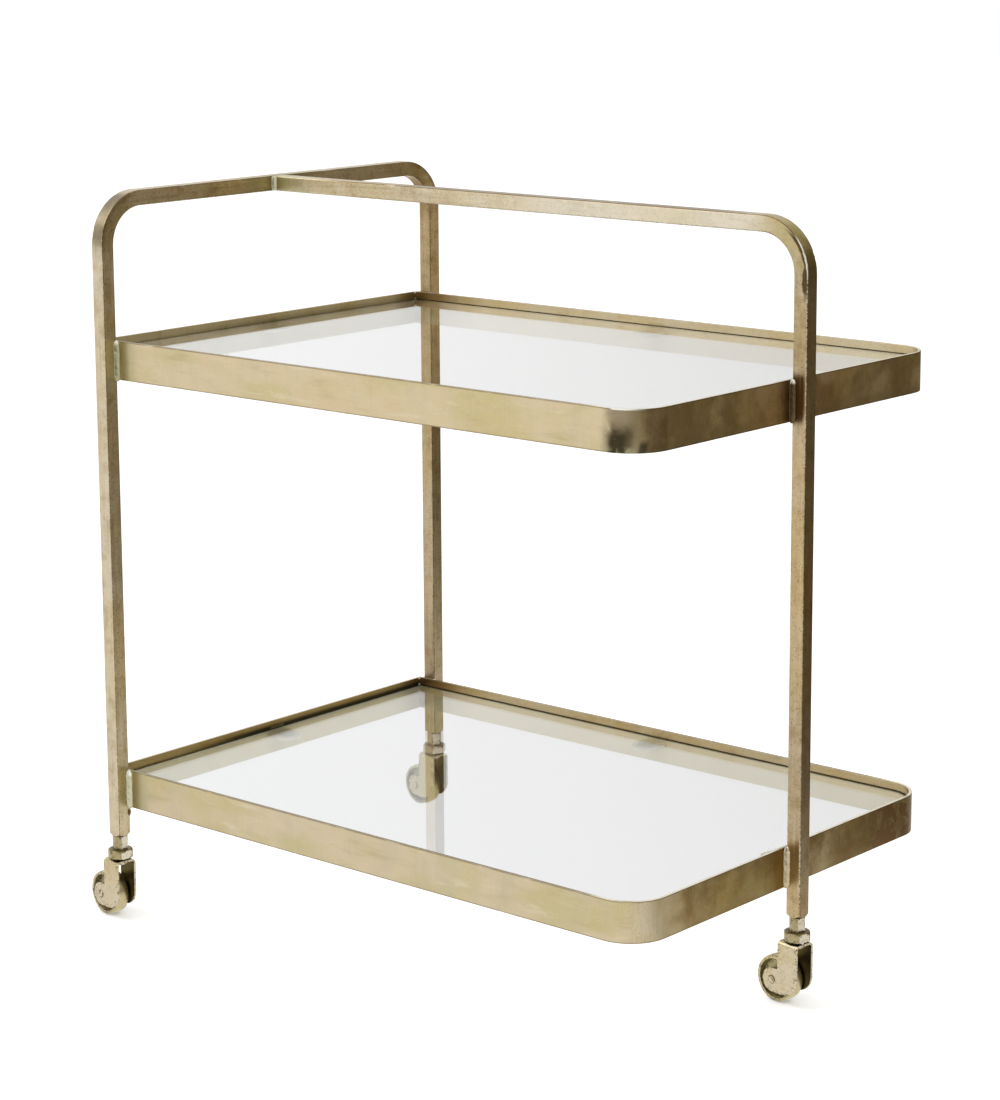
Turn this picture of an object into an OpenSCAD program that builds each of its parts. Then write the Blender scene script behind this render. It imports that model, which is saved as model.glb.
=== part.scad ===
// Three-legged serving trolley: a bent end hoop, a handle that turns down into
// the third leg, two glass trays and three swivelling casters.
// The cart stands on z = 0, its length runs along x and its width along y.

/* [Cart] */
// Length of each tray's rim, from its open end to its rounded end
tray_l = 700; // [500:5:900]
// Width of each tray's rim over its long sides
tray_w = 478; // [380:2:600]
// Height of the upper rim's top edge above the floor
upper_top = 615.5; // [560:0.5:650]
// Height of the lower rim's top edge above the floor
lower_top = 161; // [150:0.5:240]
// Height of the handle's top above the floor
cart_h = 767; // [740:1:880]
/* [Square tube] */
// Side of the square tube
tube = 16; // [15:0.5:20]
// Wall of the square tube
tube_wall = 1.5; // [1:0.1:2]
// Radius on the tube's long outer edges
tube_round = 1.5; // [1:0.1:2.2]
// Radius of the tube's bends, measured to the middle of the tube
bend_r = 46; // [36:1:80]
// Distance from the trays' open end to the hoop's legs
leg_inset = 6.5; // [6:0.5:20]
// Height of the legs' lower ends above the floor
leg_end = 91; // [86:0.5:105]
// Length of the threaded plug in each leg's lower end
plug_l = 30; // [26:1:50]
/* [Tray rims] */
// Height of the rim bar
rim_h = 40; // [32:1:50]
// Thickness of the rim bar
rim_t = 3; // [2:0.5:5]
// Outer radius of the rim's two bent corners
rim_round = 40; // [20:1:80]
// Slit between each end of the end bar and the long side beside it
end_gap = 1.5; // [0.5:0.25:3]
/* [Glass] */
// Thickness of the glass
glass_t = 5; // [4:0.5:8]
// Distance from the rim's top edge down to the top of the glass
glass_drop = 8.5; // [4:0.5:12]
// Gap between the edge of the glass and the rim
glass_gap = 1.5; // [1:0.25:3]
// Corner radius of the glass at the open end
glass_corner = 3; // [1:0.5:10]
/* [Glass supports] */
// Width of each support tab
tab_w = 32; // [20:1:40]
// Reach of each support tab into the tray
tab_l = 30; // [24:1:50]
// Thickness of each support tab
tab_t = 3; // [2:0.5:4]
// Diameter of the clear pad on each tab
pad_d = 18; // [8:1:22]
// Thickness of the clear pad
pad_t = 5; // [1:0.25:6]
/* [Welds] */
// Size of the bead between a leg and a rim
bead = 5; // [3:0.5:6]
// Size of the bead between the handle and the hoop
handle_bead = 4; // [2:0.5:6]
// Distance from a rim's edges to the ends of its beads
bead_short = 1; // [0.5:0.5:4]
// Height of each tack that closes the end bar's slit
tack_h = 9; // [5:0.5:14]
/* [Caster stem] */
// Size across the flats of the hexagonal stem
stem_af = 14.5; // [13:0.5:15]
// Height of the stem between the leg and the collar
stem_h = 14.5; // [10:0.5:20]
// Depth of the thin neck under the leg's end
neck_h = 0.6; // [0.4:0.1:1.5]
// Diameter of the neck
neck_d = 11; // [9:0.5:12]
// Diameter of the threaded shank in the leg's plug
shank_d = 8; // [6:0.5:9]
// Length of the threaded shank
shank_l = 24; // [15:1:25]
// Diameter of the spindle that the fork turns on
spindle_d = 9; // [7:0.5:10]
/* [Caster collar and race] */
// Size across the flats of the collar
collar_af = 24.5; // [24:0.25:26]
// Diameter that the collar's corners are turned to
collar_d = 26.6; // [25:0.2:28]
// Height of the collar
collar_h = 9; // [7:0.5:12]
// Radius on the collar's upper edge
collar_round = 2.6; // [1:0.1:3.5]
// Gap between the collar and the fork, where the balls show
race_gap = 2.7; // [2:0.1:3]
// Diameter of each ball
ball_d = 3.2; // [3:0.1:3.6]
// Number of balls in each race
ball_count = 16; // [8:1:16]
// Radius of the ring that the balls run on
race_r = 9.6; // [9:0.1:10]
/* [Caster fork] */
// Angle that each caster is turned about its stem
caster_turn = 7.5; // [0:0.5:45]
// Distance that the wheel trails behind the stem
trail = 21.5; // [16:0.5:28]
// Width over the fork's two sides
fork_w = 23.6; // [22:0.2:28]
// Thickness of the fork's strip
fork_t = 2.2; // [1.8:0.1:3]
// Outer radius of the fork's two bends
fork_bend = 4.5; // [3.5:0.5:7]
// Reach of the fork ahead of the stem
fork_front = 10; // [8:0.5:14]
// Reach of the fork's straight part behind the stem
fork_back = 14.5; // [10:0.5:15]
// Radius of the fork's lobe around the axle
lobe_r = 12; // [9:0.5:14]
// Radius of the fork's heel below the stem
heel_r = 18.5; // [12:0.5:20]
/* [Caster wheel] */
// Diameter of the wheel
wheel_d = 47; // [42:1:52]
// Width of the wheel's tread
wheel_w = 15; // [11:0.5:16]
// Radius of the tread's crown
crown_r = 30; // [20:1:60]
// Thickness of the wheel's rim at its side faces
wheel_rim = 3.6; // [2.5:0.1:5]
// Extra thickness of the rim where it meets the web
wheel_taper = 2; // [0:0.5:3]
// Thickness of the wheel's web
web_t = 4; // [3:0.5:6]
// Diameter of the wheel's hub
hub_d = 14; // [11:0.5:18]
// Diameter of the axle
axle_d = 6; // [5:0.5:7]
// Diameter of the axle's riveted heads
axle_head_d = 7.6; // [7.4:0.1:10]
// Height of the axle's riveted heads
axle_head_h = 1; // [0.6:0.1:2]
/* [Clearances] */
// Clearance around each turning pin or spindle
run_gap = 0.06; // [0.02:0.01:0.1]
// Clearance at each end of the hub
hub_gap = 0.4; // [0.2:0.1:0.8]
// Clearance between the retaining washer and the fork
washer_gap = 0.15; // [0.1:0.05:0.3]
// Thickness of the retaining washer
washer_t = 1.5; // [1:0.1:2.5]
// Diameter of the retaining washer
washer_d = 16; // [14:0.5:17]
/* [Hidden] */
$fn = 64;
brass = "#b9a57c";
dark_brass = "#8d7748";
pale_brass = "#cdbd95";
clear_glass = "#d7e2dd";
clear_pad = "#e4e8e4";
steel = "#c9c9c6";
// Overshoot of each cut past the faces that it opens
cut = 1;

// The casters stick out past the open end by this much, measured from a hoop leg's middle
caster_reach = (trail + wheel_d / 2) * cos(caster_turn) + wheel_w / 2 * sin(caster_turn);
hoop_leg_mid = leg_inset + tube / 2;
// The frame of reference is the middle of the whole length
tray_x = -(tray_l + tube + hoop_leg_mid - caster_reach) / 2;
hoop_x = tray_x + hoop_leg_mid;
hoop_y = (tray_w + tube) / 2;
handle_x = tray_x + tray_l + tube / 2;
bar_z = cart_h - tube / 2;
bend_z = bar_z - bend_r;
tray_mid_x = tray_x + tray_l / 2;

// Each leg's place and the turn of its stem's flats
FRONT = [hoop_x, -hoop_y];
BACK = [hoop_x, hoop_y];
HANDLE = [handle_x, 0];
front_stem_turn = 0;
back_stem_turn = 30;
handle_stem_turn = -18;

tube_corner = (tube / 2 - tube_round) * sqrt(2) + tube_round;
tab_drop = glass_drop + glass_t + pad_t;
tab_round_x = tab_l - tab_w / 2;
// Each pad lies on its tab's round end, and under the glass
pad_x = max(tab_round_x, glass_gap + pad_d / 2);
glass_inset = rim_t + glass_gap;

collar_top = leg_end - stem_h;
collar_bottom = collar_top - collar_h;
fork_top = collar_bottom - race_gap;
bridge_bottom = fork_top - fork_t;
washer_top = bridge_bottom - washer_gap;
axle_z = wheel_d / 2;
lobe_bottom = axle_z - lobe_r;
heel_x = fork_front - heel_r;
heel_z = lobe_bottom + heel_r;
hub_w = fork_w - 2 * fork_t - 2 * hub_gap;
wheel_inner_r = wheel_d / 2 - wheel_rim;

// Square of the given side with round corners, about the origin
module round_square(side, r) {
    square([side - 2 * r, side], center = true);
    square([side, side - 2 * r], center = true);
    for (sx = [-1, 1], sy = [-1, 1])
        translate([sx * (side / 2 - r), sy * (side / 2 - r)])
            circle(r = r);
}

// Section of the square tube
module tube_section() {
    difference() {
        round_square(tube, tube_round);
        square(tube - 2 * tube_wall, center = true);
    }
}

// Straight tube that stands on the origin
module straight_tube(l) {
    linear_extrude(height = l)
        tube_section();
}

// Quarter bend about z, from the x axis to the y axis
module tube_bend() {
    rotate_extrude(angle = 90)
        translate([bend_r, 0])
            tube_section();
}

// What is turned away at a leg's lower end: everything outside a steep cone
module leg_end_cut() {
    reach = tube_corner + cut;
    rotate_extrude()
        polygon([[tube / 2, 0], [reach, reach - tube / 2], [reach, -cut], [tube / 2, -cut]]);
}

// Upright leg from its turned lower end to the start of the bend above it
module leg_tube() {
    difference() {
        translate([0, 0, leg_end])
            straight_tube(bend_z - leg_end);
        translate([0, 0, leg_end])
            leg_end_cut();
    }
}

// Two legs and the top bar, bent from one tube
module end_hoop() {
    bar_l = 2 * (hoop_y - bend_r);
    color(brass)
        translate([hoop_x, 0, 0])
            union() {
                for (side = [0, 1])
                    mirror([0, side, 0]) {
                        translate([0, hoop_y, 0])
                            leg_tube();
                        translate([0, hoop_y - bend_r, bend_z])
                            rotate([90, 0, 90])
                                tube_bend();
                    }
                translate([0, bar_l / 2, bar_z])
                    rotate([90, 0, 0])
                        straight_tube(bar_l);
            }
}

// Handle along the middle, bent down into the third leg
module handle_leg() {
    bar_start = hoop_x + tube / 2;
    bar_l = handle_x - bend_r - bar_start;
    color(brass)
        union() {
            translate([handle_x, 0, 0])
                leg_tube();
            translate([handle_x - bend_r, 0, bend_z])
                rotate([90, 0, 0])
                    tube_bend();
            translate([bar_start, 0, bar_z])
                rotate([0, 90, 0])
                    straight_tube(bar_l);
        }
}

// Plate outline from x0 to x1 with corner radius r0 at x0 and r1 at x1
module plate_outline(x0, x1, w, r0, r1) {
    translate([x0 + r0, -w / 2])
        square([x1 - x0 - r0 - r1, w]);
    translate([x1 - r1, -w / 2 + r1])
        square([r1, w - 2 * r1]);
    for (side = [-1, 1])
        translate([x1 - r1, side * (w / 2 - r1)])
            circle(r = r1);
    if (r0 > 0) {
        translate([x0, -w / 2 + r0])
            square([r0, w - 2 * r0]);
        for (side = [-1, 1])
            translate([x0 + r0, side * (w / 2 - r0)])
                circle(r = r0);
    }
}

// Flat bar bent into the two long sides and the rounded end
module rim(top) {
    translate([tray_x, 0, top - rim_h])
        linear_extrude(height = rim_h)
            difference() {
                plate_outline(0, tray_l, tray_w, 0, rim_round);
                plate_outline(-cut, tray_l - rim_t, tray_w - 2 * rim_t, 0, rim_round - rim_t);
            }
}

// Straight flat bar that closes the tray's square end
module end_bar(top) {
    bar_w = tray_w - 2 * rim_t - 2 * end_gap;
    translate([tray_x, -bar_w / 2, top - rim_h])
        cube([rim_t, bar_w, rim_h]);
}

// Glass pane, lying loose on the pads
module glass_pane(top) {
    translate([tray_x, 0, top - glass_drop - glass_t])
        linear_extrude(height = glass_t)
            plate_outline(
                glass_inset, tray_l - glass_inset, tray_w - 2 * glass_inset,
                glass_corner, rim_round - glass_inset
            );
}

// Puts its child at the middle of each side of a tray, with x pointing into the tray
module at_tray_sides(z) {
    translate([tray_x + rim_t, 0, z])
        children();
    translate([tray_x + tray_l - rim_t, 0, z])
        rotate([0, 0, 180])
            children();
    for (side = [-1, 1])
        translate([tray_mid_x, side * (tray_w / 2 - rim_t), z])
            rotate([0, 0, -90 * side])
                children();
}

// Support tabs on a rim's inner faces, each with its end rounded and cut off flush where it meets the rim
module glass_tabs(top) {
    at_tray_sides(top - tab_drop - tab_t)
        linear_extrude(height = tab_t)
            intersection() {
                union() {
                    translate([0, -tab_w / 2])
                        square([tab_round_x, tab_w]);
                    translate([tab_round_x, 0])
                        circle(d = tab_w);
                }
                translate([0, -tab_w / 2 - cut])
                    square([tab_l + cut, tab_w + 2 * cut]);
            }
}

// Clear pads between the tabs and the glass
module glass_pads(top) {
    at_tray_sides(top - tab_drop)
        translate([pad_x, 0, 0])
            cylinder(d = pad_d, h = pad_t);
}

// Bead in the corner between two upright faces, filling the first quadrant
module corner_bead(size, h) {
    linear_extrude(height = h)
        intersection() {
            circle(r = size);
            square(size);
        }
}

// Beads at both sides of each leg, and the tacks at the end bar
module tray_welds(top) {
    bead_z = top - rim_h + bead_short;
    bead_h = rim_h - 2 * bead_short;
    for (side = [0, 1])
        mirror([0, side, 0]) {
            translate([hoop_x + tube / 2, tray_w / 2, bead_z])
                corner_bead(bead, bead_h);
            translate([hoop_x - tube / 2, tray_w / 2, bead_z])
                mirror([1, 0, 0])
                    corner_bead(bead, bead_h);
            translate([tray_x + tray_l, tube / 2, bead_z])
                corner_bead(bead, bead_h);
            for (z = [top - tack_h, top - rim_h])
                translate([tray_x, tray_w / 2 - rim_t - end_gap, z])
                    cube([rim_t, end_gap, tack_h]);
        }
}

// Beads that join the handle to the hoop's top bar
module handle_weld() {
    color(pale_brass)
        for (side = [0, 1])
            mirror([0, side, 0])
                translate([hoop_x + tube / 2, tube / 2, cart_h - tube + tube_round])
                    corner_bead(handle_bead, tube - 2 * tube_round);
}

// Threaded plug that fills a leg's lower end
module leg_plug(place) {
    side = tube - 2 * tube_wall;
    color(dark_brass)
        translate([place[0], place[1], leg_end])
            difference() {
                translate([-side / 2, -side / 2, 0])
                    cube([side, side, plug_l]);
                leg_end_cut();
                translate([0, 0, -cut])
                    cylinder(d = shank_d + 2 * run_gap, h = shank_l + 2 * cut);
            }
}

// Shank, neck, hexagonal body, spindle and peened end, turned from one bar
module stem(place, turn) {
    spindle_end = washer_top - washer_t;
    head_h = washer_t;
    color(brass)
        translate([place[0], place[1], 0])
            union() {
                translate([0, 0, collar_top])
                    cylinder(d = shank_d, h = stem_h + shank_l);
                translate([0, 0, collar_top])
                    cylinder(d = neck_d, h = stem_h);
                translate([0, 0, collar_top])
                    rotate([0, 0, turn + 30])
                        cylinder(d = stem_af / cos(30), h = stem_h - neck_h, $fn = 6);
                translate([0, 0, spindle_end - head_h])
                    cylinder(d = spindle_d, h = collar_top - spindle_end + head_h + cut);
                translate([0, 0, spindle_end - head_h])
                    cylinder(d = spindle_d + 2 * washer_t, h = head_h);
            }
}

// Hexagonal bearing cup with rounded corners and a ball groove below
module collar(place, turn) {
    color(pale_brass)
        translate([place[0], place[1], 0])
            difference() {
                intersection() {
                    translate([0, 0, collar_bottom])
                        rotate([0, 0, turn + 30])
                            cylinder(d = collar_af / cos(30), h = collar_h, $fn = 6);
                    rotate_extrude()
                        union() {
                            translate([0, collar_bottom])
                                square([collar_d / 2, collar_h - collar_round]);
                            translate([0, collar_bottom])
                                square([collar_d / 2 - collar_round, collar_h]);
                            translate([collar_d / 2 - collar_round, collar_top - collar_round])
                                circle(r = collar_round);
                        }
                }
                translate([0, 0, collar_bottom - cut])
                    cylinder(d = spindle_d + 2 * run_gap, h = collar_h + 2 * cut);
                rotate_extrude()
                    translate([race_r, fork_top + run_gap + ball_d / 2])
                        circle(r = ball_d / 2 + run_gap);
            }
}

// Ring of loose balls between the collar and the fork
module balls(place) {
    color(steel)
        translate([place[0], place[1], fork_top + run_gap + ball_d / 2])
            for (i = [0 : ball_count - 1])
                rotate([0, 0, 360 * i / ball_count])
                    translate([race_r, 0, 0])
                        sphere(d = ball_d);
}

// Washer that keeps the fork on the spindle
module washer(place) {
    color(dark_brass)
        translate([place[0], place[1], washer_top - washer_t])
            difference() {
                cylinder(d = washer_d, h = washer_t);
                translate([0, 0, -cut])
                    cylinder(d = spindle_d + 2 * run_gap, h = washer_t + 2 * cut);
            }
}

// Section of the bent strip, seen along the direction of travel
module fork_section() {
    inner_w = fork_w - 2 * fork_t;
    inner_bend = fork_bend - fork_t;
    difference() {
        union() {
            translate([-fork_w / 2, 0])
                square([fork_w, fork_top - fork_bend]);
            translate([-fork_w / 2 + fork_bend, 0])
                square([fork_w - 2 * fork_bend, fork_top]);
            for (side = [-1, 1])
                translate([side * (fork_w / 2 - fork_bend), fork_top - fork_bend])
                    circle(r = fork_bend);
        }
        translate([-inner_w / 2, -cut])
            square([inner_w, fork_top - fork_bend + cut]);
        translate([-inner_w / 2 + inner_bend, -cut])
            square([inner_w - 2 * inner_bend, bridge_bottom + cut]);
        for (side = [-1, 1])
            translate([side * (inner_w / 2 - inner_bend), bridge_bottom - inner_bend])
                circle(r = inner_bend);
    }
}

// Outline of one side of the fork: a straight strip, a heel and a lobe at the axle
module fork_outline() {
    translate([-fork_back, heel_z])
        square([fork_back + fork_front, fork_top - heel_z]);
    intersection() {
        translate([heel_x, heel_z])
            circle(r = heel_r);
        translate([heel_x - heel_r, lobe_bottom])
            square([2 * heel_r, heel_r]);
    }
    translate([-trail, lobe_bottom])
        square([trail + heel_x, 2 * lobe_r]);
    translate([-trail, axle_z])
        circle(r = lobe_r);
}

// Turns its child with the caster and puts it under a leg
module at_caster(place) {
    translate([place[0], place[1], 0])
        rotate([0, 0, -caster_turn])
            children();
}

// Fork bent from one strip, with its spindle hole and its axle holes
module fork(place) {
    outline_w = fork_w + 2 * cut;
    section_l = trail + lobe_r + fork_front + 2 * cut;
    color(brass)
        at_caster(place)
            difference() {
                intersection() {
                    translate([0, outline_w / 2, 0])
                        rotate([90, 0, 0])
                            linear_extrude(height = outline_w)
                                fork_outline();
                    translate([-trail - lobe_r - cut, 0, 0])
                        rotate([90, 0, 90])
                            linear_extrude(height = section_l)
                                fork_section();
                }
                translate([0, 0, bridge_bottom - cut])
                    cylinder(d = spindle_d + 2 * run_gap, h = fork_t + 2 * cut);
                translate([-trail, outline_w / 2, axle_z])
                    rotate([90, 0, 0])
                        cylinder(d = axle_d + run_gap, h = outline_w);
            }
}

// Axle riveted over both sides of the fork
module axle(place) {
    color(pale_brass)
        at_caster(place)
            translate([-trail, 0, axle_z])
                rotate([90, 0, 0])
                    union() {
                        translate([0, 0, -fork_w / 2])
                            cylinder(d = axle_d, h = fork_w);
                        for (side = [0, 1])
                            mirror([0, 0, side])
                                translate([0, 0, fork_w / 2])
                                    cylinder(d1 = axle_head_d, d2 = axle_head_d - axle_head_h, h = axle_head_h);
                    }
}

// Metal wheel with a crowned tread, a dished web and a bored hub
module wheel(place) {
    inner_web_r = wheel_inner_r - wheel_taper;
    bore_r = axle_d / 2 + run_gap;
    color(dark_brass)
        at_caster(place)
            translate([-trail, 0, axle_z])
                rotate([90, 0, 0])
                    rotate_extrude()
                        union() {
                            intersection() {
                                polygon([
                                    [wheel_inner_r, -wheel_w / 2], [wheel_d / 2, -wheel_w / 2],
                                    [wheel_d / 2, wheel_w / 2], [wheel_inner_r, wheel_w / 2],
                                    [inner_web_r, web_t / 2], [inner_web_r, -web_t / 2]
                                ]);
                                translate([wheel_d / 2 - crown_r, 0])
                                    circle(r = crown_r, $fn = 128);
                            }
                            translate([hub_d / 2 - cut, -web_t / 2])
                                square([inner_web_r - hub_d / 2 + 2 * cut, web_t]);
                            translate([bore_r, -hub_w / 2])
                                square([hub_d / 2 - bore_r, hub_w]);
                        }
}

end_hoop();
handle_leg();
handle_weld();
color(brass) rim(upper_top);  // upper_rim
color(dark_brass) end_bar(upper_top);  // upper_end_bar
color(pale_brass) tray_welds(upper_top);  // upper_tray_welds
color(dark_brass) glass_tabs(upper_top);  // upper_glass_tabs
color(clear_pad) glass_pads(upper_top);  // upper_glass_pads
color(clear_glass) glass_pane(upper_top);  // upper_glass
color(brass) rim(lower_top);  // lower_rim
color(dark_brass) end_bar(lower_top);  // lower_end_bar
color(pale_brass) tray_welds(lower_top);  // lower_tray_welds
color(dark_brass) glass_tabs(lower_top);  // lower_glass_tabs
color(clear_pad) glass_pads(lower_top);  // lower_glass_pads
color(clear_glass) glass_pane(lower_top);  // lower_glass
leg_plug(FRONT);  // front_leg_plug
stem(FRONT, front_stem_turn);  // front_stem
collar(FRONT, front_stem_turn);  // front_collar
balls(FRONT);  // front_balls
washer(FRONT);  // front_washer
fork(FRONT);  // front_fork
axle(FRONT);  // front_axle
wheel(FRONT);  // front_wheel
leg_plug(BACK);  // back_leg_plug
stem(BACK, back_stem_turn);  // back_stem
collar(BACK, back_stem_turn);  // back_collar
balls(BACK);  // back_balls
washer(BACK);  // back_washer
fork(BACK);  // back_fork
axle(BACK);  // back_axle
wheel(BACK);  // back_wheel
leg_plug(HANDLE);  // handle_leg_plug
stem(HANDLE, handle_stem_turn);  // handle_stem
collar(HANDLE, handle_stem_turn);  // handle_collar
balls(HANDLE);  // handle_balls
washer(HANDLE);  // handle_washer
fork(HANDLE);  // handle_fork
axle(HANDLE);  // handle_axle
wheel(HANDLE);  // handle_wheel
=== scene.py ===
# A three-legged bar cart in aged brass with two glass trays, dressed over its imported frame.
import math
from types import SimpleNamespace

import bpy
import numpy as np
from mathutils import Matrix, Vector


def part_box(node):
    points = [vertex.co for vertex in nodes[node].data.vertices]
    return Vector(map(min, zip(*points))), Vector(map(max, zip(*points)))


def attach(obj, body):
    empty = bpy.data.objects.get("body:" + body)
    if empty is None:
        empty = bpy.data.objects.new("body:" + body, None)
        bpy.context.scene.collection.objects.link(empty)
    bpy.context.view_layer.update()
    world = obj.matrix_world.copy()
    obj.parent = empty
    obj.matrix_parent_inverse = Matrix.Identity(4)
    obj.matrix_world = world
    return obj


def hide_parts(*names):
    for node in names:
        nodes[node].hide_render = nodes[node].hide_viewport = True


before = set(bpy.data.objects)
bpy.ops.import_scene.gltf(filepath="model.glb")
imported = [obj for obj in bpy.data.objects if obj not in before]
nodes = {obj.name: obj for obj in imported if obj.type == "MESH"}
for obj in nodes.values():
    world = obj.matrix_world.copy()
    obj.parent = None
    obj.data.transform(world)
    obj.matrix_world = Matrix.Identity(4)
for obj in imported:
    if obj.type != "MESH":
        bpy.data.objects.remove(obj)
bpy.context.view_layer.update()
print("frame loaded:", len(nodes), "nodes")


def newObject(name, data):
    made = bpy.data.objects.new(name, data)
    bpy.context.collection.objects.link(made)
    return made


# The photograph was taken from the handle's side, a little above the upper tray
cameraLook = {
    "place": (1.9594, -2.2807, 1.0657),
    "turn": 40.813,
    "pitch": 10.557,
    "roll": -0.3178,
    "lens": 98.342,
    "sensor": 36.0,
    "rise": -0.0909,
}


def photoCamera(look):
    # forward is the horizontal heading lowered by the pitch, and up is turned about it by the roll
    turn, pitch, roll = (math.radians(look[word]) for word in ("turn", "pitch", "roll"))
    forward = Vector((-math.sin(turn) * math.cos(pitch), math.cos(turn) * math.cos(pitch), -math.sin(pitch)))
    level = Vector((math.cos(turn), math.sin(turn), 0))
    raised = level.cross(forward)
    right = level * math.cos(roll) + raised * math.sin(roll)
    up = raised * math.cos(roll) - level * math.sin(roll)
    data = bpy.data.cameras.new("photo_camera")
    data.lens = look["lens"]
    data.sensor_width = look["sensor"]
    data.shift_y = look["rise"]
    camera = newObject("photo_camera", data)
    axes = Matrix((right, up, -forward)).transposed().to_4x4()
    camera.matrix_world = Matrix.Translation(look["place"]) @ axes
    bpy.context.scene.camera = camera


photoCamera(cameraLook)
print("camera set")


class Wire:
    # A shader socket that takes part in Python sums
    def __init__(self, net, socket):
        self.net = net
        self.socket = socket

    def __add__(self, other):
        return self.net.math("ADD", self, other)

    def __sub__(self, other):
        return self.net.math("SUBTRACT", self, other)

    def __rsub__(self, other):
        return self.net.math("SUBTRACT", other, self)

    def __mul__(self, other):
        return self.net.math("MULTIPLY", self, other)

    def __truediv__(self, other):
        return self.net.math("DIVIDE", self, other)

    def __neg__(self):
        return self * -1.0

    def __abs__(self):
        return self.net.math("ABSOLUTE", self)

    __radd__ = __add__
    __rmul__ = __mul__


class Net:
    # The node tree of one material or of the world
    def __init__(self, tree):
        self.tree = tree
        tree.nodes.clear()

    def node(self, kind, settings=None, inputs=None, output=0):
        made = self.tree.nodes.new(kind)
        for word, value in (settings or {}).items():
            setattr(made, word, value)
        for word, value in (inputs or {}).items():
            socket = made.inputs[word]
            if isinstance(value, Wire):
                self.tree.links.new(value.socket, socket)
            else:
                socket.default_value = value
        return Wire(self, made.outputs[output]) if made.outputs else None

    def math(self, operation, a, b=None):
        inputs = {0: a} if b is None else {0: a, 1: b}
        return self.node("ShaderNodeMath", {"operation": operation}, inputs)

    def highest(self, a, b):
        return self.math("MAXIMUM", a, b)

    def length(self, *values):
        # The root of the sum of the squares
        return self.math("SQRT", sum(value * value for value in values))

    def vector(self, operation, a, b, output=0):
        return self.node("ShaderNodeVectorMath", {"operation": operation}, {0: a, 1: b}, output)

    def dot(self, a, b):
        return self.vector("DOT_PRODUCT", a, b, "Value")

    def smooth(self, value, low, high):
        # 0 at low, 1 at high, and a smooth step between them
        inputs = {"Value": value, "From Min": low, "From Max": high}
        return self.node("ShaderNodeMapRange", {"interpolation_type": "SMOOTHSTEP"}, inputs)

    def fall(self, value, low, high):
        # 1 at low and 0 at high
        return 1 - self.smooth(value, low, high)

    def band(self, value, low, high, soft):
        # 1 from low to high, falling smoothly to 0 over soft outside
        return self.smooth(value, low - soft, low) * self.fall(value, high, high + soft)

    def colour(self, factor, a, b, blend="MIX"):
        a, b = ((*tone, 1) if isinstance(tone, tuple) else tone for tone in (a, b))
        settings = {"data_type": "RGBA", "blend_type": blend}
        return self.node("ShaderNodeMix", settings, {"Factor": factor, 6: a, 7: b}, 2)

    def noise(self, place, scale, detail=3.0, rough=0.5, distortion=0.0):
        inputs = {"Vector": place, "Scale": scale, "Detail": detail, "Roughness": rough}
        inputs["Distortion"] = distortion
        return self.node("ShaderNodeTexNoise", inputs=inputs)

    def stretched(self, place, scales, detail=3.0, rough=0.6):
        # A noise with its own scale along each axis
        return self.noise(self.vector("MULTIPLY", place, scales), 1.0, detail, rough)

    def split(self, vector):
        parts = self.node("ShaderNodeSeparateXYZ", inputs={0: vector}).socket.node
        return [Wire(self, parts.outputs[i]) for i in range(3)]

    def normal(self):
        return self.node("ShaderNodeTexCoord", output="Normal")

    def facing(self):
        return self.split(self.normal())

    def rounded(self, radius):
        return self.node("ShaderNodeBevel", {"samples": 4}, {"Radius": radius})

    def bump(self, strength, distance, height, radius=None):
        # A rough surface, with its edges rounded where a radius is given
        inputs = {"Strength": strength, "Distance": distance, "Height": height}
        if radius:
            inputs["Normal"] = self.rounded(radius)
        return self.node("ShaderNodeBump", inputs=inputs)

    def surface(self, inputs):
        return self.node("ShaderNodeBsdfPrincipled", inputs=inputs)

    def edges(self, radius):
        # 0 on open faces, and more where the normal turns within the radius
        flat = self.node("ShaderNodeNewGeometry", output="True Normal")
        return self.smooth(self.dot(self.rounded(radius), flat), 0.995, 0.88)

    def hollows(self, reach):
        # 1 deep in a corner between pieces, 0 in the open
        open_ = self.node("ShaderNodeAmbientOcclusion", {"samples": 6}, {"Distance": reach}, "AO")
        return self.smooth(open_, 0.75, 0.25)


class Paint:
    # The colour of a surface, built up in layers that each have a mask
    def __init__(self, net, tone):
        self.net = net
        self.tone = tone

    def lay(self, mask, tone):
        # Covers what is below it as far as the mask says
        self.tone = self.net.colour(mask, self.tone, tone)

    def film(self, mask, tone):
        # Multiplies what is below it
        self.tone = self.net.colour(mask, self.tone, tone, "MULTIPLY")


def newMaterial(name):
    # A material, its net, and the place on the piece
    material = bpy.data.materials.new(name)
    material.use_nodes = True
    net = Net(material.node_tree)
    return material, net, net.node("ShaderNodeTexCoord", output="Object")


def finishMaterial(net, shader):
    net.node("ShaderNodeOutputMaterial", inputs={"Surface": shader})


def finishMetal(net, tone, rough, bump, metallic=1.0):
    inputs = {"Base Color": tone, "Metallic": metallic, "Roughness": rough, "Normal": bump}
    finishMaterial(net, net.surface(inputs))


# Places on the cart that the stains, heat marks and painted light and shade follow, read from the frame
upperLow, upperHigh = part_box("upper_rim")
lowerLow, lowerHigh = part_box("lower_rim")
hoopLow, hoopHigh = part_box("end_hoop")
frontX = (hoopLow.x + hoopHigh.x) / 2
tubeSide = hoopHigh.x - hoopLow.x
tubeHalf = tubeSide / 2
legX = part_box("handle_leg")[1].x - tubeHalf
barZ = hoopHigh.z - tubeHalf
bendRadius = 0.046
bendZ = barZ - bendRadius

brassLook = {
    "pale": (0.66, 0.575, 0.43),
    "warm": (0.63, 0.515, 0.305),
    "olive": (0.36, 0.30, 0.14),
    "green": (0.45, 0.44, 0.25),
    "brown": (0.15, 0.09, 0.032),
    "amber": (0.072, 0.033, 0.008),
    "black": (0.03, 0.026, 0.012),
    "edge": (0.90, 0.84, 0.69),
}


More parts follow.
